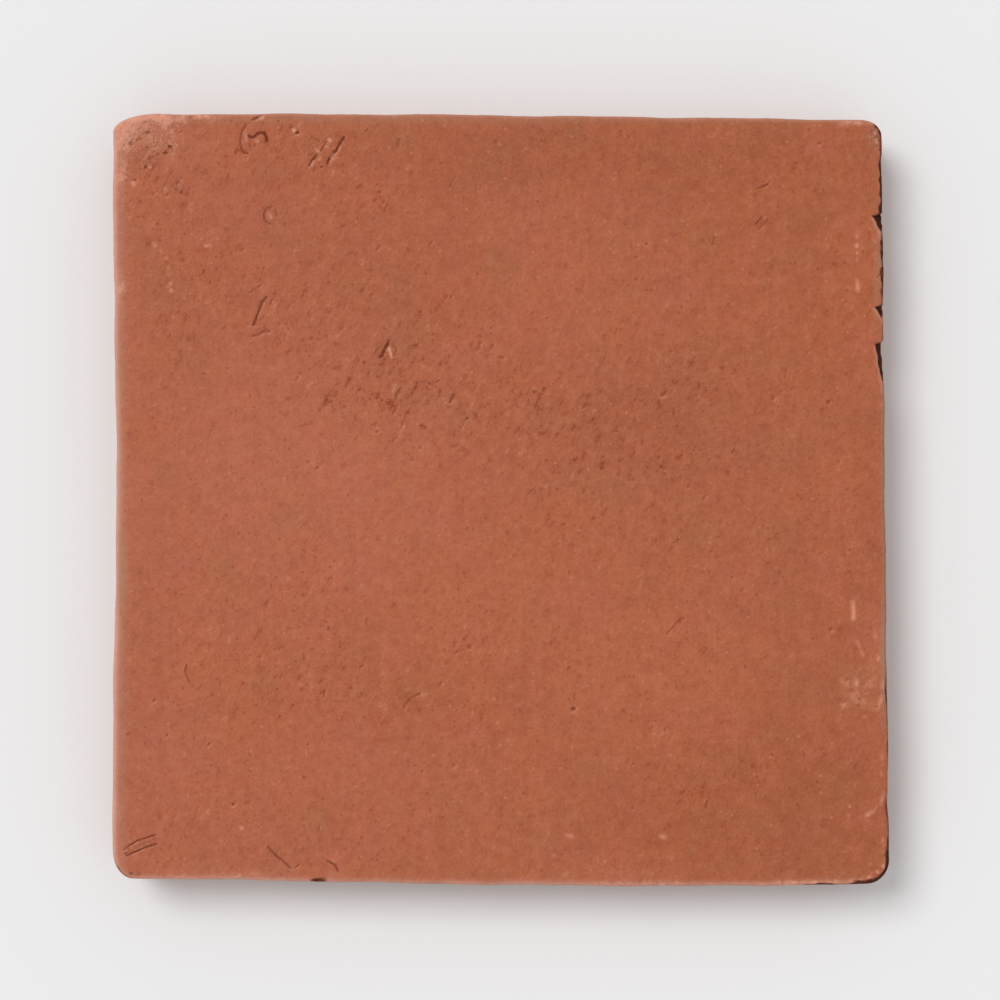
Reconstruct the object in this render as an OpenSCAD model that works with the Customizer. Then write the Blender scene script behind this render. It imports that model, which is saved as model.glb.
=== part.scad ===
// Hand-made square terracotta floor tile, lying on its bed with the wearing face up.
// The outline is out of square, its edges bow, its corners are worn round by different amounts,
// the arris of the face is rolled over, and flakes have broken off the right-hand arris.
// Sides and corners are listed front, right, back, left and front left, front right, back right,
// back left. The origin is the middle of the bed, at the centre of the tile's box.

/* [Tile] */
// Nominal length of each side, before cutting and firing make it uneven
side_len = 200; // [150:1:300]
// Thickness at the middle of an edge
thickness = 20; // [14:0.5:32]
// How far the sides lean in from the face down to the bed
side_taper = 0.8; // [0:0.1:2]
// Radius of the arris round the bed
bed_roll = 1.2; // [0.4:0.1:3]

/* [Outline, out of square] */
// Corners beyond the nominal square, across the tile
corner_out_x = [0.5, 0.7, -1.2, 0.4]; // [-4:0.1:4]
// Corners beyond the nominal square, along the tile
corner_out_y = [-2.2, -0.7, -1.6, -0.2]; // [-4:0.1:4]
// Outward bow of each edge at its middle
edge_bow = [1, -0.1, 0.5, -0.6]; // [-3:0.1:3]
// Lean of each bow towards the start of its edge, going anticlockwise
edge_sway = [-0.2, 0, -0.1, -0.1]; // [-2:0.1:2]
// Triple wave along each edge
edge_ripple = [0, 0, 0, 0.3]; // [-1:0.1:1]
// Small unevenness left along the edges by the cutting wire
edge_waver = 0.1; // [0:0.05:0.4]

/* [Corners] */
// Length of each corner's rounding along the front and back edges
corner_round_x = [5.5, 6, 5.5, 11]; // [2:0.1:14]
// Length of each corner's rounding along the left and right edges
corner_round_y = [7, 6, 4, 4.5]; // [2:0.1:14]
// Extra rounding that foot wear gives each corner of the face
corner_wear = [1, 4, 1.5, 2]; // [0:0.1:6]

/* [Rolled arris of the face] */
// Width of the roll over each edge
arris_roll = [1.2, 1, 0.9, 4]; // [0.4:0.1:6]
// How far the roll comes down each side
arris_drop = [1.4, 1.8, 1.2, 3]; // [0.4:0.1:5]

/* [Wearing face] */
// Depth of the hollow in the middle of the face
face_hollow = 0.3; // [0:0.1:1]
// Lift of the back left and front right corners against the other two
face_twist = 0.3; // [-1:0.1:1]
// Height of the soft waves left by smoothing the face by hand
face_wave = 0.15; // [0:0.05:0.5]
// Distance from crest to crest of those waves
wave_len = 70; // [40:5:150]

/* [Flakes off the right-hand arris] */
// Place of each flake's steep heel along the right edge, back from its middle
flake_at = [73.5, 50, 40.4]; // [-60:0.1:65]
// How far each flake bites into the face
flake_depth = [2.8, 2.2, 2.4]; // [1:0.1:5]
// Length of each flake, from its heel forward to where it runs out
flake_len = [5.6, 4.4, 12.6]; // [3:0.1:20]
// How far each flake comes down the side at its heel
flake_drop = [3.6, 2.8, 4.8]; // [1:0.1:8]

/* [Hidden] */
clay = [0.68, 0.39, 0.28];
// Steps round each corner, an even number, and steps along each edge between two corners
arc_steps = 6;
edge_steps = 34;
// Steps round the arris of the face and round that of the bed
roll_steps = 5;
bed_steps = 3;
// The two wavers of an edge: waves along it, turn in degrees from side to side, and their weights
waver_count = [5, 11];
waver_turn = [70, 130];
waver_weight = [1, 0.6];
// Slant of the face's soft waves, and how much longer they are along the tile than across it
wave_slant = [0.35, 0.2];
wave_stretch = 1.3;
// Smallest rounding that a corner keeps as the outline is drawn in
least_round = 0.6;
// How far a flake's cutter stands clear of the tile, outwards and upwards
flake_clear = 8;
// How far the cutter's fracture planes run on past the tile's skin, as a share of the flake
flake_over = 0.5;
// How far back of its heel a flake reaches on the side of the tile, as a share of its drop
flake_heel = 0.3;

no_inset = [0, 0, 0, 0];
// Which side bounds each corner across the tile, and which along it
x_side = [3, 1, 1, 3];
y_side = [0, 0, 2, 2];
x_sign = [-1, 1, 1, -1];
y_sign = [-1, -1, 1, 1];
steps = arc_steps + edge_steps;
ring_count = 4*steps;

function lerp(a, b, t) = a + (b - a)*t;

// Sharp corner k of the outline, drawn in from each side by its own inset
function corner(k, inset) = [
    x_sign[k]*(side_len/2 + corner_out_x[k] - inset[x_side[k]]),
    y_sign[k]*(side_len/2 + corner_out_y[k] - inset[y_side[k]])
];

// Waver w of side k at the share u of its length
function waver(w, k, u) = waver_weight[w]*sin(360*waver_count[w]*u + waver_turn[w]*k);

// Outward swing of side k at the share u of its length
function swing(k, u) =
    edge_bow[k]*sin(180*u) + edge_sway[k]*sin(360*u) + edge_ripple[k]*sin(540*u)
    + edge_waver*(waver(0, k, u) + waver(1, k, u));

// Point of side k at the share u, going anticlockwise round the tile
function edge_point(k, u, inset) =
    let (a = corner(k, inset), b = corner((k + 1)%4, inset), run = b - a)
    lerp(a, b, u) + swing(k, u)*[run.y, -run.x]/norm(run);

// Rounding of corner k, [across, along], after the inset and the wear
function rounding(k, inset, wear) = [
    max(least_round, corner_round_x[k] - inset[x_side[k]] + wear*corner_wear[k]),
    max(least_round, corner_round_y[k] - inset[y_side[k]] + wear*corner_wear[k])
];

// Shares of side k at which the corner roundings at its start and its end leave it
function side_span(k, inset, wear) =
    let (next = (k + 1)%4, len = norm(corner(next, inset) - corner(k, inset)), axis = k%2)
    [rounding(k, inset, wear)[axis]/len, 1 - rounding(next, inset, wear)[axis]/len];

// Point of corner k's quarter ellipse at the angle a, from the side before it to the side after it
function arc_point(k, a, inset, wear) =
    let (
        before = (k + 3)%4,
        c = corner(k, inset),
        s = edge_point(before, side_span(before, inset, wear)[1], inset),
        e = edge_point(k, side_span(k, inset, wear)[0], inset)
    )
    c + (s - c)*(1 - sin(a)) + (e - c)*(1 - cos(a));

// Side k from the middle of one corner to just short of the middle of the next
function side_points(k, inset, wear) =
    let (span = side_span(k, inset, wear), half = arc_steps/2)
    [
        for (i = [0:half - 1]) arc_point(k, 45 + 45*i/half, inset, wear),
        for (i = [0:edge_steps]) edge_point(k, lerp(span[0], span[1], i/edge_steps), inset),
        for (i = [1:half - 1]) arc_point((k + 1)%4, 45*i/half, inset, wear)
    ];

// The whole outline, drawn in by an inset for each side
function outline(inset, wear) = [for (k = [0:3]) each side_points(k, inset, wear)];

widest = outline(no_inset, 0);
widest_x = [for (p = widest) p.x];
widest_y = [for (p = widest) p.y];
middle = [(min(widest_x) + max(widest_x))/2, (min(widest_y) + max(widest_y))/2];

// Height of the wearing face over the bed at p: hollow, twisted and softly waved
function face_height(p) =
    let (
        x = 2*p.x/side_len,
        y = 2*p.y/side_len,
        across = 360*(p.x + wave_slant[0]*p.y)/wave_len,
        along = 360*(p.y - wave_slant[1]*p.x)/(wave_stretch*wave_len)
    )
    thickness - face_hollow*(1 - x*x)*(1 - y*y) - face_twist*x*y
    + face_wave*sin(across)*cos(along);

// Drop of the arris at point i of the outline, which changes from side to side round the corner
function drop_at(i) =
    let (k = floor(i/steps), along = i%steps, half = arc_steps/2)
    along < half ? lerp(arris_drop[(k + 3)%4], arris_drop[k], 0.5 + 0.5*along/half)
    : along > steps - half ?
        lerp(arris_drop[k], arris_drop[(k + 1)%4], 0.5*(along - steps + half)/half)
    : arris_drop[k];

// Rings of the skin, each the same number of points: the bed's arris, then the face's arris
function bed_ring(a) =
    let (inset = side_taper + bed_roll*(1 - cos(a)))
    [for (p = outline([inset, inset, inset, inset], 0)) [p.x, p.y, bed_roll*(1 - sin(a))]];
function face_ring(a) =
    let (pts = outline(arris_roll*(1 - cos(a)), 1 - cos(a)))
    [for (i = [0:ring_count - 1])
        [pts[i].x, pts[i].y, face_height(pts[i]) - drop_at(i)*(1 - sin(a))]];

// Coons patch over the face: point i, j between the four sides of its boundary ring
function patch_point(rim, i, j) =
    let (
        front = rim[i],
        right = rim[steps + j],
        back = rim[3*steps - i],
        left = rim[ring_count - j],
        u = (front.x - rim[0].x)/(rim[steps].x - rim[0].x),
        v = (right.y - rim[steps].y)/(rim[2*steps].y - rim[steps].y),
        p = lerp(front, back, v) + lerp(left, right, u)
            - lerp(lerp(rim[0], rim[steps], u), lerp(rim[3*steps], rim[2*steps], u), v)
    )
    [p.x, p.y, face_height(p)];

// Number of the patch point i, j: on the rim it is the ring's own point
function patch_index(i, j, rim_start) =
    j == 0 ? rim_start + i
    : i == steps ? rim_start + steps + j
    : j == steps ? rim_start + 3*steps - i
    : i == 0 ? rim_start + ring_count - j
    : rim_start + ring_count + (j - 1)*(steps - 1) + i - 1;

// The tile as one closed skin, from the bed up the sides and over the face
module moulded_slab() {
    rings = [
        for (i = [bed_steps:-1:0]) bed_ring(90*i/bed_steps),
        for (i = [0:roll_steps]) face_ring(90*i/roll_steps)
    ];
    rim = rings[len(rings) - 1];
    rim_start = (len(rings) - 1)*ring_count;
    inner = [for (j = [1:steps - 1]) for (i = [1:steps - 1]) patch_point(rim, i, j)];
    bed_middle = [middle.x, middle.y, 0];
    points = [for (r = rings) each r, each inner, bed_middle];
    bed_index = len(points) - 1;
    faces = [
        for (i = [0:ring_count - 1]) [bed_index, i, (i + 1)%ring_count],
        for (r = [0:len(rings) - 2]) for (i = [0:ring_count - 1])
            let (a = r*ring_count + i, b = r*ring_count + (i + 1)%ring_count)
            each [[a, a + ring_count, b + ring_count], [a, b + ring_count, b]],
        for (j = [0:steps - 1]) for (i = [0:steps - 1])
            let (
                a = patch_index(i, j, rim_start),
                b = patch_index(i, j + 1, rim_start),
                c = patch_index(i + 1, j + 1, rim_start),
                d = patch_index(i + 1, j, rim_start)
            )
            each [[a, b, c], [a, c, d]]
    ];
    polyhedron(points, faces);
}

// Cutter for one flake: it bites deepest at its steep heel and runs out forward along the arris.
// Its two fracture planes meet in the line of the heel, and both run on past the skin.
module flake(at, depth, length, drop) {
    front = corner(1, no_inset);
    back = corner(2, no_inset);
    arris = edge_point(1, (at + middle.y - front.y)/(back.y - front.y), no_inset);
    top = face_height(arris);
    heel_on_face = [arris.x - depth, arris.y, top];
    heel_on_side = [arris.x, arris.y + flake_heel*drop, top - drop];
    toe = [arris.x, arris.y - length, top];
    above = lerp(heel_on_side, heel_on_face, 1 + flake_over);
    beside = lerp(heel_on_face, heel_on_side, 1 + flake_over);
    past_toe = lerp((heel_on_face + heel_on_side)/2, toe, 1 + flake_over);
    outside = [arris.x + flake_clear, arris.y, top + flake_clear];
    polyhedron(
        [above, beside, past_toe, outside],
        [[0, 2, 1], [0, 3, 2], [0, 1, 3], [1, 2, 3]]
    );
}

module tile() {
    color(clay)
        translate([-middle.x, -middle.y, 0])
            difference() {
                moulded_slab();
                for (i = [0:len(flake_at) - 1])
                    flake(flake_at[i], flake_depth[i], flake_len[i], flake_drop[i]);
            }
}

tile();
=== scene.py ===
"""Hand-made terracotta floor tile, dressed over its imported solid.

One surface worked out with numpy stands for the tile. Rings of points climb from the bed, up the
sides and over the rolled arris to the rim of the wearing face, and a patch fills the face. Flakes,
pits, scratches and the unevenness of pressed clay are then pushed into it.
"""
import math

import bpy
import numpy as np
from bpy.props import FloatProperty, FloatVectorProperty, IntProperty, PointerProperty
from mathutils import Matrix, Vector


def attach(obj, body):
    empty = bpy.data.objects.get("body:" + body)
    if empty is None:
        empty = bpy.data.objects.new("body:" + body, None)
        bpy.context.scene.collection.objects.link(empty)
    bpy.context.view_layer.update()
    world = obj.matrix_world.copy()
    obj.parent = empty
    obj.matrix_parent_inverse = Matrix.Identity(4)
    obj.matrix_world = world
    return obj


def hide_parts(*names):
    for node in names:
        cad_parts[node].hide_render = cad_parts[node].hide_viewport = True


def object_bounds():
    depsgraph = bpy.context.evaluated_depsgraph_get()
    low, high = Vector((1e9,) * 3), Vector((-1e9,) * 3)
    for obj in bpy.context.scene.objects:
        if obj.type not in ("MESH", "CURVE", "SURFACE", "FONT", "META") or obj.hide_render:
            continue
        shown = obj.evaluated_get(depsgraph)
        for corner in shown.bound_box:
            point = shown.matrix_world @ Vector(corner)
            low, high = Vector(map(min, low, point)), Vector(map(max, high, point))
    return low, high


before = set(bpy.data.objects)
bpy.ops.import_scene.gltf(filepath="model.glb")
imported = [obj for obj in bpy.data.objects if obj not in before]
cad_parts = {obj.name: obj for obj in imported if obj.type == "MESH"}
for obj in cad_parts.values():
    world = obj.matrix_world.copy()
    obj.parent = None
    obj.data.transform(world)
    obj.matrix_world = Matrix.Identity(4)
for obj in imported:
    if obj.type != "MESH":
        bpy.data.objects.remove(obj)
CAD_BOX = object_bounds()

bl_info = {
    "name": "Terracotta floor tile",
    "version": (1, 0, 0),
    "blender": (4, 5, 0),
    "location": "3D View > Sidebar > Tile",
    "description": "Makes a hand-made terracotta floor tile and a plain stage for it",
    "category": "Add Mesh",
}

MM = 0.001
QUARTER = math.pi/2
NODE = "tile"
SLACK = 0.1*MM       # that the dressed tile may stand out of its solid's box


# Properties

def length(name, description, mm):
    """A size in metres, whose default is given in millimetres."""
    return FloatProperty(name=name, description=description, default=mm*MM, unit="LENGTH", precision=5)


def lengths(name, description, mm):
    """Sizes in metres, one for each side, corner or flake, whose defaults are given in millimetres."""
    return FloatVectorProperty(
        name=name, description=description, size=len(mm), default=[v*MM for v in mm], unit="LENGTH",
        precision=5)


def turned_by(name, description, degrees):
    """An angle, whose default is given in degrees."""
    return FloatProperty(name=name, description=description, default=math.radians(degrees), subtype="ANGLE")


def portion(name, description, default):
    """A share of a whole."""
    return FloatProperty(name=name, description=description, default=default, min=0.01, max=1)


def paint(name, description, red, green, blue):
    """A colour as the eye reads it off a surface, each part from 0 to 255."""
    return FloatVectorProperty(
        name=name, description=description, size=3, min=0, max=1, subtype="COLOR_GAMMA",
        default=(red/255, green/255, blue/255))


class TileForm(bpy.types.PropertyGroup):
    """Sizes of the tile. Sides go front, right, back, left, and corners go front left, front right, back
    right, back left."""
    side_len: length("Side", "Nominal length of each side", 200)
    thickness: length("Thickness", "From the bed to the face at the middle of an edge", 20)
    side_taper: length("Taper", "How far the sides lean in from the face to the bed", 0.8)
    bed_roll: length("Bed arris", "Radius of the arris round the bed", 1.2)
    corner_out_x: lengths("Corners across", "Corners past the nominal square, across", (0.5, 0.7, -1.2, 0.4))
    corner_out_y: lengths("Corners along", "Corners past the nominal square, along", (-2.2, -0.7, -1.6, -0.2))
    edge_bow: lengths("Bow", "Outward bow of each edge at its middle", (1, -0.1, 0.5, -0.6))
    edge_sway: lengths("Sway", "Lean of each bow towards the start of its edge", (-0.2, 0, -0.1, -0.1))
    edge_ripple: lengths("Ripple", "Triple wave along each edge", (0, 0, 0, 0.3))
    edge_waver: length("Waver", "Small unevenness left by the cutting wire", 0.1)
    corner_round_x: lengths("Rounding across", "Length of each corner's rounding, across", (5.5, 6, 5.5, 11))
    corner_round_y: lengths("Rounding along", "Length of each corner's rounding, along", (7, 6, 4, 4.5))
    corner_wear: lengths("Corner wear", "Extra rounding of each corner of the face", (1, 4, 1.5, 2))
    arris_roll: lengths("Roll", "Width of the rolled arris over each edge", (1.2, 1, 0.9, 4))
    arris_drop: lengths("Drop", "How far the roll comes down each side", (1.4, 1.8, 1.2, 3))
    face_hollow: length("Hollow", "Depth of the hollow in the middle of the face", 0.3)
    face_twist: length("Twist", "Lift of the back left and front right corners", 0.3)
    face_wave: length("Wave", "Height of the soft waves of the face", 0.15)
    wave_len: length("Wave length", "Distance from crest to crest of those waves", 70)
    flake_at: lengths("Flake place", "Heel of each flake, back from the edge's middle", (73.5, 50, 40.4))
    flake_depth: lengths("Flake bite", "How far each flake bites into the face", (2.8, 2.2, 2.4))
    flake_len: lengths("Flake length", "Length of each flake, from heel to toe", (5.6, 4.4, 12.6))
    flake_drop: lengths("Flake drop", "How far each flake comes down the side", (3.6, 2.8, 4.8))
    slump: length("Slump", "Depth of the broad dents left by pressing the clay by hand", 0.16)
    skin: length("Skin", "Depth of the small unevenness of the smoothed face", 0.05)
    drag: length("Drag", "Depth of the lines that the cutting wire dragged along the sides", 0.16)
    torn: length("Torn clay", "Depth of the crumbled clay at the back corners", 0.42)
    seed: IntProperty(name="Seed", description="Start of every random draw", default=7)


class ClayFinish(bpy.types.PropertyGroup):
    """Colours and grain of the fired clay."""
    pale: paint("Pale clay", "The pinker clay of the left half", 178.5, 104.3, 79)
    deep: paint("Deep clay", "The browner clay of the front right", 165, 93.8, 64.5)
    orange: paint("Warm clay", "Clay that the fire turned more orange", 181.5, 101.5, 67.5)
    # Pale arris rim: rubbed dust, and a painted highlight where an arris or a flake's rim catches the light
    worn: paint("Worn arris", "Rubbed, dusty clay along the arrises", 212, 160, 142)
    rose: paint("Rosy clay", "Small patches a little pinker than the rest", 187, 105, 86)
    olive: paint("Olive clay", "Small patches a little browner than the rest", 161, 103, 71)
    rubbed: paint("Rubbed clay", "Thin pale dust rubbed into the face", 220, 154, 131)
    # Dirt and painted shade inside pits, scratches and the voids of the sides
    hollow_dirt_and_shade: paint("Cavity", "Clay inside pits and scratches", 98, 20, 2)
    pore: paint("Pores", "Clay in the hollows of the grain", 124, 12, 0)
    sand: paint("Sand", "Pale grains of sand in the clay", 212, 142, 114)
    grog: paint("Grog", "Dark grains in the clay", 128, 62, 42)
    # Painted shade of the sides where they show under the arris, along the right and front edges
    edge_shade: paint("Grime", "Dark dirt lodged on the right arris", 72, 38, 27)
    # Painted shade for the hollows of the flakes
    broken: paint("Broken clay", "Dark dirt in the hollows of the flakes", 58, 24, 14)
    dust: paint("Scuffs", "Pale scuffs and loose pale grains", 228, 158, 130)
    tan: paint("Tan clay", "Clay gone tan along the right arris", 167, 122, 98)
    wall: paint("Sides", "Cut clay of the sides and the bed", 170, 103, 78)
    grain_turn: turned_by("Grain turn", "Way of the smoothing tool, from the right of the view", 58)
    roughness: portion("Roughness", "Of the smoothed face", 0.86)
    specular: portion("Specular", "Strength of the faint sheen", 0.06)


class TileStage(bpy.types.PropertyGroup):
    """Floor, lamps and camera."""
    floor: paint("Floor", "Colour of the floor and of what lies beyond it", 237, 237, 237)
    sky_share: portion("Soft light", "Share of the light on the face that comes from all round", 0.6)
    key_height: turned_by("Key height", "Height of the key lamp over the floor", 56)
    key_turn: turned_by("Key turn", "Place of the key lamp, anticlockwise from the right of the view", 138)
    key_size: turned_by("Key size", "Width of the key lamp as the tile sees it", 28)
    lens: length("Lens", "Focal length", 100)
    fill: portion("Fill", "Share of the picture's width that the tile takes", 0.78)


# Marks on the face, in millimetres from the tile's middle. Each stroke is its half width and its depth,
# and then its path: across and along for each point in turn.

STROKES = {
    "ring": (
        (0.31, 0.3, -65.4, 96.8, -66.5, 95.4, -67.05, 93.7, -66.9, 91.2, -66.4, 89.8, -65.1, 89.7),
        (0.32, 0.36, -63.7, 98.2, -61.4, 99.4),
        (0.36, 0.5, -64.8, 94, -63.7, 93.6, -62.6, 94.7, -61.2, 94.9, -60.4, 93.9, -60.3, 92.9),
        (0.28, 0.26, -64.7, 92.3, -64.5, 91.2), (0.28, 0.22, -63.2, 92, -63.2, 91.5),
        (0.28, 0.24, -61.8, 92.6, -61.6, 92.1),
    ),
    "cross": (
        (0.3, 0.46, -49.3, 86.4, -48.75, 87.6, -47.5, 89),
        (0.28, 0.26, -46.3, 90.1, -45.4, 91.6, -44.3, 93.4), (0.33, 0.3, -46.1, 86.1, -45.3, 86.3),
        (0.34, 0.48, -44.7, 86.5, -44.3, 87.9, -42.9, 89.7, -42.1, 90.3, -41.5, 91.8, -40.4, 93.7),
        (0.29, 0.26, -48.5, 93.7, -46.8, 92.7),
    ),
    "oval": (
        (0.32, 0.3, -58.9, 75.8, -60.5, 75.2, -61.1, 73.6, -60.5, 71.8, -59.2, 71.2),
        (0.31, 0.24, -58, 75, -57.7, 73.4),
    ),
    "chain": (
        (0.33, 0.42, -60.3, 52.3, -61.4, 50.9, -62.3, 48.8, -63.7, 45.4),
        (0.3, 0.2, -64.6, 53.7, -63, 54.6, -61.8, 55.4), (0.3, 0.26, -59.4, 50.4, -58.8, 51.8),
        (0.38, 0.28, -64, 42.4, -62.2, 42.8, -60.6, 43.8, -59.6, 43.4),
    ),
    "peak": (
        (0.4, 0.62, -31, 36.9, -29.9, 38.6, -28.7, 40.9), (0.3, 0.3, -27.9, 40.2, -26.7, 38.9),
        (0.28, 0.2, -27, 37.7, -28, 36.9), (0.28, 0.22, -32.6, 37.4, -31.5, 39.2),
    ),
    "straw": (
        (0.26, 0.36, -97.2, -90.5, -95.2, -88.8, -92, -87.5, -89, -86.5),
        (0.26, 0.4, -96.6, -92, -93.8, -90.7, -91, -89.6, -88.9, -88.9),
    ),
    "vee": (
        (0.28, 0.38, -59.9, -89.7, -58.4, -91.6, -56, -93.3, -53.9, -95.4),
        (0.26, 0.26, -53.2, -95.3, -51.9, -94.2),
    ),
    "front tick": ((0.33, 0.3, -44.4, -93.3, -42.8, -94, -41.8, -95.8),),
    "left tick": ((0.31, 0.22, -80.8, -42.4, -81.4, -44.6, -80.2, -47),),
    "hook": ((0.34, 0.26, -24.8, -54.2, -24, -52, -22.4, -50.6, -20.4, -50),),
    "right hook": ((0.3, 0.16, 43, -34.8, 44.6, -33, 45.8, -31.4, 47.8, -30.5),),
    "dash": (
        (0.36, 0.4, -12.9, 25.2, -12.4, 26.2, -12, 27.1), (0.3, 0.26, -20.2, 30.6, -19.6, 30.2),
        (0.34, 0.3, -18.5, 30.2, -17.8, 29.6), (0.31, 0.3, -16.9, 29.9, -16.4, 29),
        (0.34, 0.26, -10.4, 16.8, -10, 18.2, -9.9, 19.4),
    ),
    "field": (
        (0.32, 0.22, -39.9, 29.2, -39, 31), (0.34, 0.24, -26.8, 26.8, -25.6, 28.8),
        (0.34, 0.26, -27.7, 22.2, -26.7, 24), (0.32, 0.24, -27.8, 14.9, -26.6, 16.6),
        (0.32, 0.22, -25.4, 19.3, -24.6, 20.9), (0.34, 0.24, 9.8, 22, 10.1, 24.4),
        (0.34, 0.22, 10, 26.2, 10.5, 27.8),
    ),
    "right tick": (
        (0.3, 0.36, 66, 71.2, 67, 72.4, 68.2, 73.4), (0.28, 0.28, 66.8, 69.9, 68, 71, 69.2, 72.6),
    ),
    "right dash": ((0.3, 0.26, 66.4, 80.4, 68, 81, 69.6, 81.9),),
    "back tick": ((0.28, 0.16, -13, 80.4, -12.4, 82.6, -11.2, 83.6),),
    "left hook": ((0.28, 0.14, -83.6, 34.4, -82, 36.6, -82.8, 38.6),),
}

# Single pits: across, along, half width, depth
PITS = (
    (-98.6, 89.2, 0.45, 0.3), (-98.6, 87.8, 0.45, 0.3), (-98.5, 86.2, 0.4, 0.24), (-97.4, 91.5, 0.5, 0.38),
    (-95.5, 92, 0.6, 0.46), (-94.2, 94.2, 0.5, 0.34), (-93.2, 93.4, 0.55, 0.46), (-92.5, 94.6, 0.4, 0.3),
    (-91.5, 94.9, 0.5, 0.42), (-92.8, 96, 0.36, 0.24), (-92, 97.5, 0.4, 0.28), (-91, 97.8, 0.45, 0.34),
    (-89.7, 97.7, 0.45, 0.34), (-90.3, 96.2, 0.4, 0.24), (-89.4, 95.4, 0.4, 0.2), (-82.6, 95, 0.4, 0.22),
    (-91.5, 85.9, 0.6, 0.4), (-91.8, 87.6, 0.4, 0.24), (-89.8, 88.6, 0.45, 0.28), (-88.4, 89.3, 0.5, 0.34),
    (-86.4, 89.7, 0.6, 0.46), (-85.2, 91.1, 0.6, 0.46), (-91.2, 91.2, 0.4, 0.26), (-92.4, 90.2, 0.4, 0.22),
    (-96.2, 85.4, 0.5, 0.2), (-94.8, 84.7, 0.4, 0.22), (-96.2, 83.6, 0.5, 0.24), (-94.2, 82.6, 0.5, 0.3),
    (-90.6, 83.6, 0.4, 0.2), (-83.3, 81.9, 0.5, 0.34), (-83.7, 80.4, 0.45, 0.28), (-82.3, 79.4, 0.45, 0.28),
    (-85.9, 79.1, 0.4, 0.2), (-89.5, 79.1, 0.5, 0.2), (-79.9, 99, 0.5, 0.3), (-54, 96.1, 0.5, 0.34),
    (-52.3, 94.9, 0.56, 0.46), (-57.2, 97.8, 0.4, 0.26), (97.3, 96.4, 0.5, 0.34), (96.3, 95.2, 0.4, 0.26),
    (98, 94.9, 0.5, 0.34), (97.1, 93.7, 0.4, 0.28), (98.2, 92.9, 0.45, 0.38), (96.1, 92.9, 0.36, 0.2),
    (97.6, 91.5, 0.45, 0.3), (98.5, 90.6, 0.5, 0.4), (91.9, -38.4, 0.6, 0.14), (91.9, -41.3, 0.55, 0.08),
    (91.9, -43.3, 0.55, 0.09), (89.9, -46.3, 0.6, 0.16), (93.7, -47.9, 0.5, 0.18), (90.7, -49.2, 0.6, 0.17),
    (92.9, -51.3, 0.6, 0.16), (85.4, -33.3, 0.6, 0.2), (-31.3, 79.5, 0.5, 0.24), (-1.2, 92.5, 0.5, 0.24),
    (86.3, 60.9, 0.5, 0.28), (52.2, 67.2, 0.45, 0.22), (59.9, 61.6, 0.5, 0.18), (44.1, 38.5, 0.5, 0.18),
    (70.5, 26.3, 0.7, 0.24), (72.6, 28, 0.45, 0.18), (84.8, 25.5, 0.6, 0.24), (26.3, 8.2, 0.6, 0.26),
    (34.3, 5.3, 0.5, 0.2), (42, 27, 0.55, 0.22), (-8, -38, 0.6, 0.38), (19, -54, 0.65, 0.4),
    (-12, -68.6, 0.5, 0.26), (-68.8, -78.5, 0.55, 0.3), (-38.8, -9.5, 0.5, 0.2), (-47, -98.6, 0.9, 0.6),
    (10.8, 92.8, 0.5, 0.2), (-50.2, 55.6, 0.45, 0.18), (-54.6, 49.8, 0.45, 0.16), (8.9, 28, 0.5, 0.24),
    (-40, 24, 0.5, 0.18), (60, -20, 0.5, 0.2), (-48.9, 41.5, 0.5, 0.22), (-44.8, 42.2, 0.5, 0.24),
    (-41, 44.3, 0.5, 0.24), (-33.1, 53.1, 0.45, 0.22), (0.4, 36.8, 0.5, 0.22), (-31.7, 17.7, 0.45, 0.22),
    (-19.9, 18.8, 0.5, 0.22), (-20.6, 13.5, 0.5, 0.26), (-22.9, 10.5, 0.45, 0.22), (-8.4, 21, 0.5, 0.26),
    (-10.8, 17, 0.45, 0.22), (-9.2, 12.8, 0.45, 0.22), (-95.5, -97, 0.8, 0.4), (-93.4, -96.8, 0.55, 0.3),
    (-86.8, 58.6, 0.45, 0.16),
)

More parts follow.
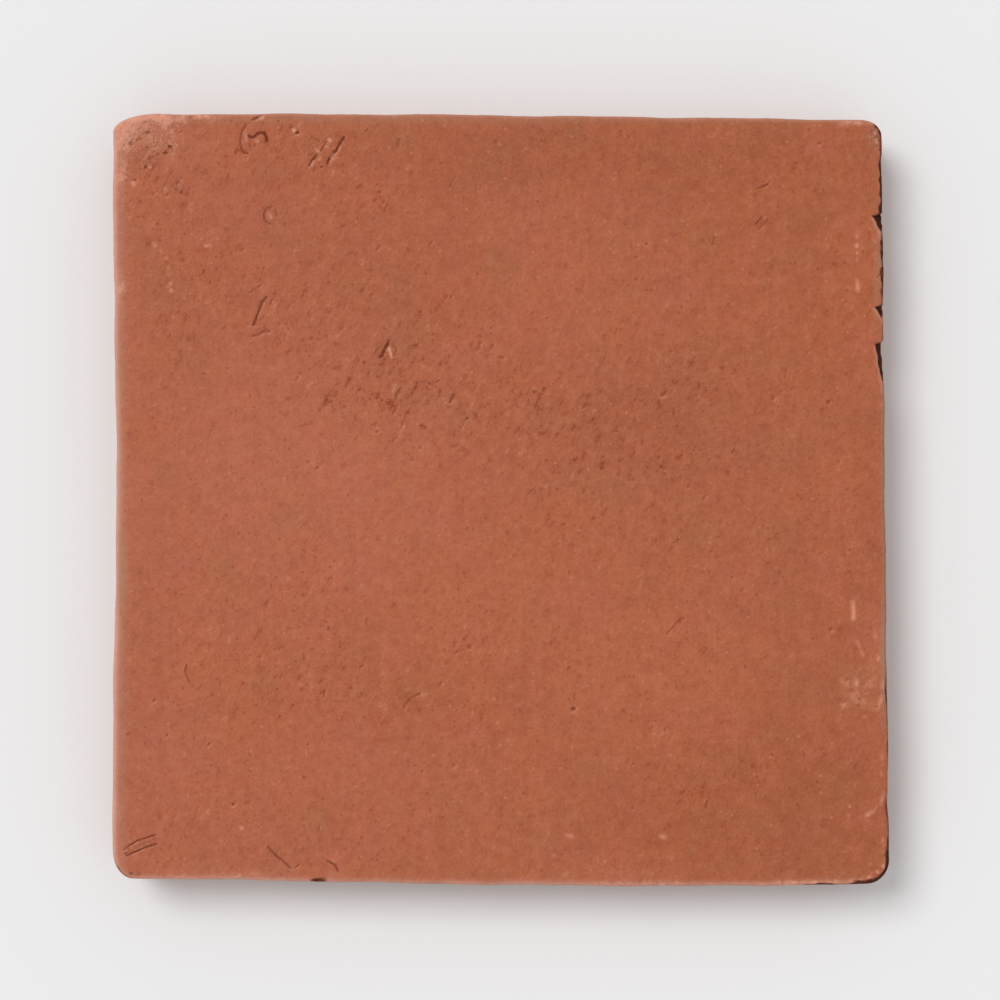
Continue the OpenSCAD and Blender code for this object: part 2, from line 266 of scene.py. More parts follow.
# Pale scuffs: half width, strength and path, as above
SCUFFS = (
    (0.73, 0.71, 91.1, -26.4, 91.3, -28.4, 91.3, -30.6), (0.67, 0.46, 96.8, -33.6, 96.9, -35.4),
    (0.51, 0.57, 92.3, -36.6, 93.5, -39.2, 94.2, -42.2, 94.1, -44.4, 93.2, -46.8),
    (0.61, 0.8, 94.1, -42.2, 94.2, -43.4), (0.9, 0.85, 92.1, -46.6, 92.2, -47.9),
    (0.73, 0.85, 91.9, -48.9, 92, -49.2), (0.98, 0.34, 88.3, -46.8, 90, -48.2),
    (0.85, 0.39, 95.3, -47, 95.9, -48.2), (0.85, 0.8, 88.5, -53.2, 88.9, -53.2),
    (0.73, 0.34, 87.9, -54.6, 87.2, -57.2), (1.22, 0.28, 90.6, -50.4, 92.8, -52.8),
    (0.67, 0.57, 98.7, -50.6, 98.1, -52.6, 97.3, -54), (0.55, 0.57, 98.9, -47, 98.9, -48.8),
    (0.61, 0.57, 97.6, -40.4, 97.6, -41.2), (0.73, 0.69, 94.8, -81.4, 96, -80.6),
    (0.61, 0.57, 98.3, -78.6, 99.1, -75.6), (0.55, 0.46, 98.6, -65.2, 98.7, -66.8),
    (0.55, 0.46, 98.5, -70.4, 98.6, -71.2), (0.67, 0.46, 92.3, 69.8, 92.2, 67.8),
    (0.67, 0.8, 92.2, 65.9, 92.2, 65.3), (0.61, 0.8, 92.3, 64.2, 92.3, 63.8),
    (0.55, 0.46, 92.3, 62.6, 92.3, 62), (0.67, 0.69, 92.3, 56.8, 92.4, 54.2),
    (0.61, 0.57, 96.9, 67.8, 96.9, 66.8), (0.67, 0.69, 17.4, -86.6, 18.6, -87),
    (0.67, 0.69, 41.6, -86.8, 42.6, -87.1), (0.61, 0.57, 13.4, -91.8, 14.4, -92.1),
    (0.61, 0.57, -66.9, -84.6, -66.5, -85), (0.61, 0.69, -89.4, 66.3, -88.9, 65.6),
    (0.55, 0.46, -87.8, 64.6, -87, 63.6), (0.61, 0.52, -86.4, 63, -85.8, 61.4),
    (0.61, 0.4, -85.7, 60.6, -85.4, 57.6), (0.61, 0.75, -85.2, 56.4, -85.1, 55.6),
    (0.61, 0.86, -84.9, 54.6, -84.8, 54), (0.61, 0.69, -75.9, 65.6, -74.9, 65.6),
    (0.73, 0.8, -96.3, 91.2, -96.2, 91.9), (1.22, 0.8, -97.2, 94.8, -96.4, 96),
    (0.98, 0.69, -98.2, 92.4, -98, 93.6), (0.98, 0.69, -95.6, 97.2, -94.2, 98.3),
    (0.61, 0.69, -93.2, 96.9, -93.1, 97.2), (0.61, 0.69, -91.6, 96.4, -91.5, 96.5),
    (0.61, 0.69, -94.2, 95.8, -94.1, 96), (0.73, 0.69, -90.1, 98.9, -89.9, 99),
    (0.73, 1, -87.3, 99.2, -87.1, 99.3), (0.61, 0.8, -81.5, 99.3, -81.3, 99.3),
    (0.67, 0.92, -78, 99, -77.8, 99), (0.61, 1, -99.6, 90.2, -99.6, 89.7),
    (0.55, 0.69, -89.8, 87.4, -89.7, 87.3), (0.61, 0.92, -90.5, 86.4, -90.4, 86.2),
    (0.73, 0.8, -98, 83.5, -97.9, 83.1), (0.61, 0.92, -94.7, 81.8, -94.6, 81.5),
    (0.61, 0.57, -84.6, 89.6, -84.2, 89.8), (0.55, 1, -61.8, 98.6, -61.3, 98.9),
    (0.55, 0.69, -62.8, 92.7, -62.5, 92.6), (0.51, 0.63, -65.6, 94.4, -65.5, 92.8),
    (0.51, 0.92, -53.3, 95.6, -53.1, 95.4), (0.61, 1, -44.2, 92.9, -44, 92.8),
    (0.56, 0.92, -44.8, 91.5, -44.5, 91.4), (0.56, 0.69, -47.4, 90.6, -46.8, 89.8),
    (0.51, 0.69, -43.6, 88.7, -43.2, 89.4), (0.51, 0.57, -46.9, 87.9, -46.3, 88.8),
    (0.51, 0.57, -48.8, 86.4, -48.4, 86.8), (0.42, 1, -28.7, 39.3, -28, 36.9),
    (0.61, 0.57, -59.4, 73.8, -59.2, 73), (0.51, 0.69, 97, 95.1, 97.2, 95),
    (0.51, 0.69, 97.4, 92.6, 97.5, 92.5), (0.51, 0.57, 95.4, 94, 95.5, 93.9),
    (0.61, 0.69, 96.6, 97.7, 97.4, 97.3), (0.5, 1, 99, -94.4, 98.9, -94.8),
    (0.55, 1, 97.7, -95.9, 97.4, -96.1), (0.5, 1, 95.7, -97.1, 95, -97.4),
    (0.4, 0.8, 93.4, -97.8, 93.2, -97.8), (0.55, 0.9, 90.9, -98.3, 90.6, -98.3),
    (0.5, 0.9, 86.9, -98.5, 86.5, -98.6), (0.45, 0.8, 81.6, -98.7, 80.4, -98.8),
    (0.5, 0.9, 76.3, -98.8, 76.2, -98.8), (0.34, 0.6, 99.3, -90.6, 99.4, -91.4),
    (0.4, 0.6, 90.2, -79, 90.4, -79.3), (0.36, 0.5, 90.2, -81.4, 90.2, -81.6),
    (0.34, 0.5, 98.9, -87.4, 98.9, -88.2), (0.34, 0.5, 99, -83.6, 99, -84.2),
)

# Dust rubbed thinly into the face: across, along, half widths, strength
DUSTY = (
    (92.6, -48.6, 4.2, 5.4, 0.42), (96.4, -40, 1.8, 6, 0.22), (-97.4, 95.6, 4.2, 4, 0.85),
    (-97.9, 95.4, 2.4, 3.4, 0.5), (-97.8, 84, 2.4, 9, 0.55), (-89, 94, 10, 6, 0.5),
    (30, -96.5, 14, 2, 0.28), (-70, -97, 18, 1.8, 0.3), (-90, 98.6, 8, 1.6, 0.6), (-76, 99, 6, 1.2, 0.5),
    (93, 97.6, 7, 1, 0.6), (15, -88, 5, 3, 0.16), (82, -98.9, 14, 0.9, 0.75), (-98.4, 55, 2, 4.5, 0.5),
    (40, -99.3, 26, 0.9, 0.5),
)

# Clay gone tan: across, along, half widths, strength
TAN = (
    (97.2, 94.2, 2.2, 3.8, 0.5), (-97.6, -19, 1.4, 8, 0.4), (97, 56, 0.9, 9, 0.35), (99, 68, 1.6, 22, 0.65),
    (99.8, 8, 1.4, 36, 0.9), (99.6, -42, 1.6, 16, 0.8), (99.4, -94, 1.4, 6, 0.4),
    (-97.8, 0, 1.7, 300, 0.36), (0, 98.6, 300, 1.5, 0.4), (0, -100.6, 300, 1.6, 0.4),
)

# Painted shade on the outer edge, where the shaded sides show under the arris: across, along, half reaches,
# width of the dark strip, strength
EDGE_SHADE = (
    (100, 72, 4, 24, 0.85, 0.8), (100, 37, 4, 10, 0.45, 0.5), (100, -55.5, 4, 11, 0.45, 0.7),
    (100, -86, 4, 9, 0.6, 0.75), (98, -95.5, 7, 6, 1.2, 1), (88, -98.8, 10, 3, 0.55, 0.8),
    (-47, -99.5, 2.2, 3, 1.1, 0.7), (98.6, 95, 2.4, 4, 1, 0.6), (-98, -97, 3, 3, 0.8, 0.5),
)

# Soft stains left by the fire: across, along, half widths, how much darker, how much more orange
STAINS = {
    "back band": (10, 90, 60, 12, 1.1, 0),
    "back, broad": (-20, 66, 74, 30, 0.55, -0.2),
    "back right": (70, 86, 30, 18, 0.7, 0.1),
    "left margin": (-84, 42, 12, 34, 0.72, -0.2),
    "left, low": (-92, -40, 8, 40, 0.5, -0.4),
    "right, high": (80, 44, 18, 22, 0.4, 0.5),
    "grey, right": (44, 18, 26, 16, 0.25, -0.8),
    "middle, low": (-13, -53, 22, 12, 0.45, 0.3),
    "front right": (47, -82, 28, 16, 0.95, 0.2),
    "front right corner": (80, -79, 22, 24, 0.9, -0.2),
    "front left": (-60, -88, 40, 12, 0.3, -0.3),
    "left light": (-62, 14, 30, 24, -0.7, -0.5),
    "middle light": (-30, 14, 26, 22, -0.5, -0.1),
    "back light": (18, 58, 26, 18, -0.45, 0.4),
    "left arris, tan": (-97.5, -19, 1.4, 8, -0.8, 1.2),
    "float line": (83.6, -20, 0.8, 11, 0.55, 0.2),
    "float line, low": (80.6, -45, 0.9, 7, -0.5, 0),
    "float line, right": (86, -50, 0.9, 10, 0.4, 0.1),
    "left orange": (-60, -52, 18, 16, 0.1, 0.9),
    "orange": (0, -28, 34, 18, -0.3, 0.8),
    "right orange": (40, -47, 24, 16, -0.25, 0.7),
}

# Patches that the smoothing tool missed: across, along, half widths, strength
ROUGH = (
    (-48, 50, 30, 11, 0.6), (-28, 28, 20, 12, 1), (14, 22, 26, 16, 0.7), (50, 30, 12, 9, 0.75),
    (44, 8, 18, 10, 0.5), (-46, -46, 26, 13, 0.75), (-62, 88, 26, 12, 0.6), (-88, 70, 12, 26, 0.35),
    (-62, -88, 30, 9, 0.4), (54, -10, 14, 8, 0.3), (50, -70, 14, 8, 0.3), (-50, -18, 16, 12, 0.3),
)

# Crumbled clay: across, along, half widths
CRUMBLY = (
    (-93.5, 91.5, 9.5, 8.5), (-84.5, 81, 4, 2.6), (97.4, 94.2, 3, 4.6),
)

# Nibbles out of the right-hand arris, back from its middle: place, half length, depth
NIBBLES = (
    (96, 3, 0.7), (86.5, 1.6, 0.5), (62, 1.2, 0.35), (-49.5, 3.4, 0.6), (-79, 2.2, 0.8), (-10, 1, 0.3),
)

# Where the grid is drawn closer, so that the marks keep their shape: from, to, how many times closer
ACROSS_ZONES = ((-100, -24, 2.2), (90, 100, 2.0))
ALONG_ZONES = ((24, 100, 2.0), (-57, -26, 1.6), (-98, -86, 1.8))


# Marks, in millimetres
SMALL_PITS = 620     # tried, before those too near to another mark are left out
PIT_GAP = 2.4        # from a small pit to the next mark, at least
MARK_WINDOW = 3.0    # how far round a mark its way is worked out
MARK_REACH = 1.4     # how far from its middle line a mark still tells
SCUFF_REACH = 2.6    # the same for a scuff
MARK_GAP = (0.35, 1.2)   # how much nearer a mark is than the next, where it begins to tell and tells fully
NO_WAY = 12.0        # way across and along where no mark is near, in half widths
NO_MARK = 17.0       # and its length
FAR_OUT = 4.0        # most that a point is said to lie outside a flake's planes
FLAKE_CORE = 6.0     # from the right arris to the line that broken points move towards

# How pale the front, right, back and left arrises are, partly rubbed dust and partly a painted highlight, and
# how wide the rim and its fade are
PALE_RIM_STRENGTH = (0.8, 0.3, 0.5, 0.98)
PALE_RIM_WIDTH = (1.1, 0.6, 0.8, 1.35)
PALE_RIM_FADE = (1.7, 0.9, 1.9, 3.2)


CORNER_STEPS = 6     # in half a corner
EDGE_STEPS = 262     # along an edge between two corners, an even number
BED_STEPS = 3
WALL_STEPS = 7
ROLL_STEPS = 8
SIDE_STEPS = 2*CORNER_STEPS + EDGE_STEPS
RING = 4*SIDE_STEPS

# Which side bounds each corner across the tile and which along it, and on which hand each corner lies
X_SIDE = np.array([3, 1, 1, 3])
Y_SIDE = np.array([0, 0, 2, 2])
X_HAND = np.array([-1, 1, 1, -1])
Y_HAND = np.array([-1, -1, 1, 1])
NO_INSET = np.zeros(4)

# The noise: values drawn for it, and what spreads them over the lattice
DRAWN = 4096
SPREAD = np.array([73856093, 19349663, 83492791])


# Numbers

def blend(a, b, share):
    """a at a share of 0 and b at a share of 1, straight between: a + (b - a) share."""
    return a + (b - a)*share


def rise(low, high, x):
    """0 below low and 1 above high, with level ends: 3 t t - 2 t t t of the share t between them."""
    t = np.clip((x - low)/(high - low), 0, 1)
    return t*t*(3 - 2*t)


def lattice_noise(points, pitch, seed):
    """Smooth noise from -1 to 1: a random value at each point of a cubic lattice, blended between the
    eight points round a place by t t (3 - 2 t) along each axis."""
    table = np.random.default_rng(seed).uniform(-1, 1, DRAWN)
    place = points/pitch
    cell = np.floor(place).astype(np.int64)
    t = place - cell
    t = t*t*(3 - 2*t)
    total = np.zeros(len(points))
    for corner in np.ndindex(2, 2, 2):
        key = ((cell + corner)*SPREAD).sum(axis=1)
        total += table[(key ^ (key >> 13)) & (DRAWN - 1)]*np.where(corner, t, 1 - t).prod(axis=1)
    return total


def layered_noise(points, pitch, seed, layers=3):
    """Noise of several pitches, each half the one before and at half its strength, back to about -1 to 1."""
    total = sum(lattice_noise(points, pitch/2**k, seed + k)/2**k for k in range(layers))
    return total/1.5


def short_lines(width, strength, *path):
    """A path with its bends cut at a quarter and three quarters of each stretch, as short lines."""
    path = np.array(path, dtype=float).reshape(-1, 2)
    if len(path) > 2:
        cut = np.stack([blend(path[:-1], path[1:], 0.25), blend(path[:-1], path[1:], 0.75)], axis=1)
        path = np.concatenate([path[:1], cut.reshape(-1, 2)[1:-1], path[-1:]])
    return [(start, end, width, strength) for start, end in zip(path[:-1], path[1:])]


def offset_from(spots, start, end):
    """From the nearest point of a short line to each spot."""
    run = end - start
    share = np.clip((spots - start)@run/(run@run), 0, 1)
    return spots - start - share[:, None]*run


def nearest_mark(spots, marks, reach=MARK_REACH):
    """For each spot, the way to it from the nearest of many marks, counted in half widths of that mark,
    and the mark's strength. The way runs straight through 0, so the mesh keeps even a thin mark crisp.
    The strength fades to 0 at the reach and between two marks, where the way changes at once."""
    way = np.full((len(spots), 2), NO_WAY)
    best, second = np.full((2, len(spots)), NO_MARK)
    nearest, half = np.full((2, len(spots)), reach)
    strength = np.zeros(len(spots))
    for lines in marks:
        ends = np.array([end for line in lines for end in line[:2]])
        low, high = ends.min(axis=0) - MARK_WINDOW, ends.max(axis=0) + MARK_WINDOW
        near = np.flatnonzero(((spots > low) & (spots < high)).all(axis=1))
        ways = np.array([offset_from(spots[near], *line[:2]) for line in lines])
        away = np.linalg.norm(ways, axis=2)
        shortest = away.argmin(axis=0)
        each = np.arange(len(near))
        width, force = lines[0][2:]
        far = away[shortest, each]/width
        closer = far < best[near]
        second[near] = np.where(closer, best[near], np.minimum(second[near], far))
        chosen = near[closer]
        best[chosen] = far[closer]
        way[chosen] = ways[shortest, each][closer]/width
        nearest[chosen] = far[closer]*width
        half[chosen] = width
        strength[chosen] = force
    strength *= (1 - rise(0.5*reach, reach, nearest))*rise(*MARK_GAP, (second - best)*half)
    return way, strength


def patches(spots, listed):
    """Sum over listed patches of strength times exp(-u u - v v), where u and v are the distances across
    and along from a patch's middle, in its half widths."""
    x, y, across, along, strength = np.array(listed).T
    u, v = (spots[:, :1] - x)/across, (spots[:, 1:2] - y)/along
    return np.exp(-u*u - v*v)@strength


def crowded(zones, count, half):
    """count + 1 shares from 0 to 1 of the stretch from -half to half, closer together inside the zones:
    equal steps of the running total of a density that is 1 outside them."""
    spot = np.linspace(-half, half, 4001)
    density = np.ones(len(spot))
    for start, end, weight in zones:
        density += (weight - 1)*(rise(start - 4, start + 4, spot) - rise(end - 4, end + 4, spot))
    total = np.concatenate([[0], np.cumsum((density[1:] + density[:-1])/2)])
    return (np.interp(np.linspace(0, total[-1], count + 1), total, spot) + half)/(2*half)


# Plan

class Plan:
    """Outline of the tile from above. Every ring has the same points, anticlockwise from the middle of
    the front left corner, so rings at different levels join point to point."""

    def __init__(self, form):
        self.form = form
        self.half = form.side_len/2
        self.out = np.array([form.corner_out_x, form.corner_out_y]).T
        self.rounds = np.array([form.corner_round_x, form.corner_round_y]).T
        self.wear = np.array(form.corner_wear)
        across = crowded(ACROSS_ZONES, EDGE_STEPS, self.half/MM)
        along = crowded(ALONG_ZONES, EDGE_STEPS, self.half/MM)
        self.shares = (across, along, 1 - across[::-1], 1 - along[::-1])
        widest = self.ring(np.zeros(4), 0)
        self.middle = (widest.min(axis=0) + widest.max(axis=0))/2

    def corners(self, inset):
        """Sharp corners, drawn in from each side by its own inset."""
        x = X_HAND*(self.half + self.out[:, 0] - inset[X_SIDE])
        y = Y_HAND*(self.half + self.out[:, 1] - inset[Y_SIDE])
        return np.stack([x, y], axis=1)

    def edge(self, side, share, inset):
        """Points of a side at shares of its length: the straight line between its corners, swung outwards
        by half a wave, a whole one, one and a half, and the fine waves of the cutting wire."""
        form = self.form
        corners = self.corners(inset)
        start, run = corners[side], corners[(side + 1) % 4] - corners[side]
        outward = np.array([run[1], -run[0]])/math.hypot(*run)
        turn = math.pi*np.asarray(share)
        fine = np.sin(10*turn + math.radians(70*side)) + 0.6*np.sin(22*turn + math.radians(130*side))
        swing = (form.edge_bow[side]*np.sin(turn) + form.edge_sway[side]*np.sin(2*turn)
                 + form.edge_ripple[side]*np.sin(3*turn) + form.edge_waver*fine)
        return start + np.multiply.outer(share, run) + np.multiply.outer(swing, outward)

    def rounding(self, corner, inset, wear):
        """Lengths of a corner's rounding across and along, less the inset and with its share of the wear."""
        cut = np.array([inset[X_SIDE[corner]], inset[Y_SIDE[corner]]])
        return np.maximum(0.6*MM, self.rounds[corner] - cut + wear*self.wear[corner])

    def span(self, side, inset, wear):
        """Shares of a side at which the roundings of its two corners leave it."""
        ahead = (side + 1) % 4
        corners = self.corners(inset)
        run = math.hypot(*(corners[ahead] - corners[side]))
        axis = side % 2
        return self.rounding(side, inset, wear)[axis]/run, 1 - self.rounding(ahead, inset, wear)[axis]/run

    def arc(self, corner, angle, inset, wear):
        """Points of a corner's quarter ellipse, from the side before it at angle 0 to the side after it."""
        behind = (corner + 3) % 4
        sharp = self.corners(inset)[corner]
        start = self.edge(behind, self.span(behind, inset, wear)[1], inset)
        end = self.edge(corner, self.span(corner, inset, wear)[0], inset)
        return (sharp + np.multiply.outer(1 - np.sin(angle), start - sharp)
                + np.multiply.outer(1 - np.cos(angle), end - sharp))

    def ring(self, inset, wear):
        """The whole outline, drawn in by an inset for each side, as RING points."""
        steps = np.arange(CORNER_STEPS)/CORNER_STEPS
        parts = []
        for side in range(4):
            span = self.span(side, inset, wear)
            parts += [
                self.arc(side, QUARTER*(1 + steps)/2, inset, wear),
                self.edge(side, blend(*span, self.shares[side]), inset),
                self.arc((side + 1) % 4, QUARTER*steps[1:]/2, inset, wear),
            ]
        return np.concatenate(parts)

    def carry(self, values):
        """A value of each side at every point of the outline, changing evenly round the corners."""
        steps = np.arange(CORNER_STEPS)/CORNER_STEPS
        parts = []
        for side in range(4):
            before, here, after = values[(side + 3) % 4], values[side], values[(side + 1) % 4]
            parts += [
                blend(before, here, (1 + steps)/2),
                np.full(EDGE_STEPS + 1, here),
                blend(here, after, steps[1:]/2),
            ]
        return np.concatenate(parts)

    def face_height(self, spots):
        """Height of the face: the thickness, less a hollow (1 - x x)(1 - y y), less a twist x y, and with a
        wave that is a sine one way times a cosine the other."""
        form = self.form
        x, y = spots[..., 0], spots[..., 1]
        u, v = x/self.half, y/self.half
        wave = np.sin(2*math.pi*(x + 0.35*y)/form.wave_len)*np.cos(2*math.pi*(y - 0.2*x)/(1.3*form.wave_len))
        return (form.thickness - form.face_hollow*(1 - u*u)*(1 - v*v) - form.face_twist*u*v
                + form.face_wave*wave)


# The skin of the tile

def bed_ring(plan, angle):
    """Ring of the bed's arris, a quarter circle from the side at angle 0 to the bed at a right angle."""
    form = plan.form
    inset = form.side_taper + form.bed_roll*(1 - math.cos(angle))
    outline = plan.ring(np.full(4, inset), 0)
    return np.column_stack([outline, np.full(RING, form.bed_roll*(1 - math.sin(angle)))])


def face_ring(plan, angle):
    """Ring of the face's arris, a quarter ellipse from the side at angle 0 to the face at a right angle."""
    share = 1 - math.cos(angle)
    outline = plan.ring(np.array(plan.form.arris_roll)*share, share)
    height = plan.face_height(outline) - plan.carry(plan.form.arris_drop)*(1 - math.sin(angle))
    return np.column_stack([outline, height])


def face_patch(plan, rim):
    """Coons patch over the face: the blend of front to back plus that of left to right, less the blend of
    the four corners, each raised to the face's own height."""
    step = SIDE_STEPS
    front, right = rim[:step + 1], rim[step:2*step + 1]
    back = rim[2*step:3*step + 1][::-1]
    left = np.concatenate([rim[3*step:], rim[:1]])[::-1]
    u = ((front[:, 0] - front[0, 0])/(front[-1, 0] - front[0, 0]))[:, None, None]
    v = ((right[:, 1] - right[0, 1])/(right[-1, 1] - right[0, 1]))[None, :, None]
    patch = blend(front[:, None], back[:, None], v) + blend(left[None], right[None], u)
    patch -= blend(blend(front[0], front[-1], u), blend(back[0], back[-1], u), v)
    patch[..., 2] = plan.face_height(patch)
    return patch


def tile_skin(plan):
    """Points and faces of the closed skin, and for each point its rise: 0 on the bed, to 1 at the top of
    the sides, to 2 at the rim, and 2 over the face."""
    bed = [bed_ring(plan, QUARTER*(1 - k/BED_STEPS)) for k in range(BED_STEPS + 1)]
    roll = [face_ring(plan, QUARTER*k/ROLL_STEPS) for k in range(ROLL_STEPS + 1)]
    climb = 1 - (1 - np.arange(1, WALL_STEPS)/WALL_STEPS)**1.5
    wall = [blend(bed[-1], roll[0], share) for share in climb]
    rings = np.array(bed + wall + roll)
    levels = len(rings)
    patch = face_patch(plan, rings[-1])
    inner = patch[1:-1, 1:-1].reshape(-1, 3)
    middle = [[*plan.middle, 0]]
    points = np.concatenate([rings.reshape(-1, 3), inner, middle])

    rise_of_ring = np.concatenate([
        np.linspace(0, 0.2, BED_STEPS + 1), blend(0.2, 1, climb), 1 + np.arange(ROLL_STEPS + 1)/ROLL_STEPS])
    climbed = np.concatenate([np.repeat(rise_of_ring, RING), np.full(len(inner), 2.0), [0]])

    number = np.arange(levels*RING).reshape(levels, RING)
    ahead = np.roll(number, -1, axis=1)
    bands = np.stack([number[:-1], ahead[:-1], ahead[1:], number[1:]], axis=-1).reshape(-1, 4)
    grid = np.empty((SIDE_STEPS + 1, SIDE_STEPS + 1), dtype=int)
    grid[1:-1, 1:-1] = levels*RING + np.arange(len(inner)).reshape(SIDE_STEPS - 1, SIDE_STEPS - 1)
    rim = np.append(number[-1], number[-1, 0])
    grid[:, 0] = rim[:SIDE_STEPS + 1]
    grid[-1, :] = rim[SIDE_STEPS:2*SIDE_STEPS + 1]
    grid[::-1, -1] = rim[2*SIDE_STEPS:3*SIDE_STEPS + 1]
    grid[0, ::-1] = rim[3*SIDE_STEPS:]
    face = np.stack([grid[:-1, :-1], grid[1:, :-1], grid[1:, 1:], grid[:-1, 1:]], axis=-1).reshape(-1, 4)
    last = np.full(RING, len(points) - 1)
    underside = np.stack([last, ahead[0], number[0]], axis=-1)
    return points, [*bands.tolist(), *face.tolist(), *underside.tolist()], climbed


def break_flakes(plan, points):
    """Breaks the flakes off the right arris. A flake lies outside two planes: a long one through its heel
    on the face, its heel on the side and its toe, and a steep one through both heels. Points in it move
    in towards a line inside the tile until they meet the nearer plane. Returns the points and, for each,
    how far it lay outside either plane, in millimetres: both above 0 in a flake, and -FAR_OUT far from
    any."""
    form = plan.form
    outside_both = np.full((2, len(points)), -FAR_OUT)
    front, back = plan.corners(NO_INSET)[1:3]
    core = FLAKE_CORE*MM
    for at, bite, run, drop in zip(form.flake_at, form.flake_depth, form.flake_len, form.flake_drop):
        share = (at + plan.middle[1] - front[1])/(back[1] - front[1])
        arris = plan.edge(1, share, NO_INSET)
        top = plan.face_height(arris)
        on_face = np.array([arris[0] - bite, arris[1], top])
        on_side = np.array([arris[0], arris[1] + 0.3*drop, top - drop])
        toe = np.array([arris[0], arris[1] - run, top])
        outside = np.array([arris[0] + 8*MM, arris[1], top + 8*MM])
        long_face = np.cross(on_side - on_face, toe - on_face)
        long_face *= np.sign(long_face@(outside - on_face))/np.linalg.norm(long_face)
        steep_face = np.cross(on_side - on_face, outside - on_face)
        steep_face *= np.sign(steep_face@(toe - on_face))/np.linalg.norm(steep_face)
        inwards = np.column_stack([
            np.full(len(points), arris[0] - core) - points[:, 0], np.zeros(len(points)),
            np.full(len(points), top - core) - points[:, 2]])
        ragged = 0.25*MM*layered_noise(points, 1.6*MM, 90)
        over_long = (points - on_face)@long_face + ragged
        over_steep = (points - on_face)@steep_face + ragged
        near = (np.abs(points[:, 0] - arris[0]) < core) & (points[:, 2] > top - core)
        both = np.array([over_long, over_steep])/MM
        nearer = near & (both.min(axis=0) > outside_both.min(axis=0))
        outside_both[:, nearer] = both[:, nearer]
        broken = near & (both.min(axis=0) > 0)
        speed_long = np.minimum(inwards@long_face, -1e-9)
        speed_steep = np.minimum(inwards@steep_face, -1e-9)
        share = np.minimum(over_long/-speed_long, over_steep/-speed_steep)
        points = points + np.where(broken, np.clip(share, 0, 0.9), 0)[:, None]*inwards
    return points, np.clip(outside_both, -FAR_OUT, FAR_OUT)


def face_marks(form):
    """Every stroke and pit of the face, each as its short lines in millimetres, with the small pits
    dropped at random clear of the others, more of them near the back and in the middle."""
    marks = [short_lines(*stroke) for strokes in STROKES.values() for stroke in strokes]
    marks += [short_lines(width, deep, x, y, x + 0.2*width, y + 0.1*width) for x, y, width, deep in PITS]
    taken = np.array([end for lines in marks for line in lines for end in line[:2]])
    draw = np.random.default_rng(form.seed)
    half = form.side_len/MM/2 - 1.5
    for _ in range(SMALL_PITS):
        x, y = draw.uniform(-half, half, 2)
        width = draw.uniform(0.24, 0.44)
        run = draw.uniform(0.3, 2.4)*draw.uniform(0.3, 1)
        turn = draw.uniform(0.7, 1.5)
        thick = patches(np.array([[x, y]]), ROUGH)[0]
        deep = 0.05 + 0.22*draw.uniform(0, 1)**2
        clear = np.hypot(taken[:, 0] - x, taken[:, 1] - y).min() > PIT_GAP
        if clear and draw.uniform() < 0.2 + thick:
            end = (x + run*math.cos(turn) + 0.05, y + run*math.sin(turn))
            marks.append(short_lines(width, deep, x, y, *end))
            taken = np.concatenate([taken, [(x, y), end]])
    return marks


def relief(plan, points, climbed):
    """Depth in metres by which each point sinks, and the numbers that the colours of the marks follow."""
    form = plan.form
    spots = points[:, :2] - plan.middle
    on_face = rise(1.2, 1.9, climbed)
    on_wall = 1 - rise(0.95, 1.35, climbed)
    off_bed = rise(0, 0.12, climbed)

    slump = 0.5 + 0.5*layered_noise(points*(1, 1, 0.3), 34*MM, form.seed)
    skin = 0.5 + 0.5*layered_noise(points, 4.2*MM, form.seed + 31)
    way, force = nearest_mark(spots/MM, face_marks(form))
    cut = 0.6*force*np.exp(-(way**2).sum(axis=1)*(0.8 + 0.4*layered_noise(points, 1.7*MM, form.seed + 11)))

    # Crumbled clay at the back corners
    crumbly = np.zeros(len(points))
    for x, y, across, along in CRUMBLY:
        away = np.hypot((spots[:, 0]/MM - x)/across, (spots[:, 1]/MM - y)/along)
        crumbly = np.maximum(crumbly, 1 - rise(0.4, 1.2, away))
    crumbs = rise(-0.15, 0.55, layered_noise(points, 1.9*MM, form.seed + 41))
    torn = form.torn*crumbly*crumbs

    # Lines dragged along the sides
    lines = 0.5 + 0.5*layered_noise(points*(1, 1, 7), 26*MM, form.seed + 51)
    wall = form.drag*lines

    # Nibbles along the right arris, and the fine crumbling of every arris
    right = right_arris_distance(plan, points)
    nibble = np.zeros(len(points))
    for at, half_len, deep in NIBBLES:
        away = ((spots[:, 1]/MM - at)/half_len)**2 + (right/MM/1.3)**2
        nibble += deep*MM*np.exp(-away)*(0.7 + 0.5*crumbs)
    on_arris = np.exp(-((climbed - 1.25)/0.35)**2)
    crumble = 0.1*MM*on_arris*np.clip(layered_noise(points, 2.2*MM, form.seed + 71), -0.2, 1)

    sink = (on_face*(form.slump*slump + form.skin*skin + MM*cut + torn)
            + on_wall*wall + nibble + crumble)
    colour_guides = {
        "mark_x": way[:, 0],
        "mark_y": way[:, 1],
        "mark_force": on_face*np.clip(force/0.5, 0, 1),
        "crumbly": on_face*crumbly,
    }
    return sink*off_bed, colour_guides


def right_arris_distance(plan, points):
    """Distance of each point from the right arris, in plan and in height together."""
    front, back = plan.corners(NO_INSET)[1:3]
    share = np.clip((points[:, 1] - front[1])/(back[1] - front[1]), 0, 1)
    arris = plan.edge(1, share, NO_INSET)
    return np.hypot(points[:, 0] - arris[:, 0], points[:, 2] - plan.face_height(arris))


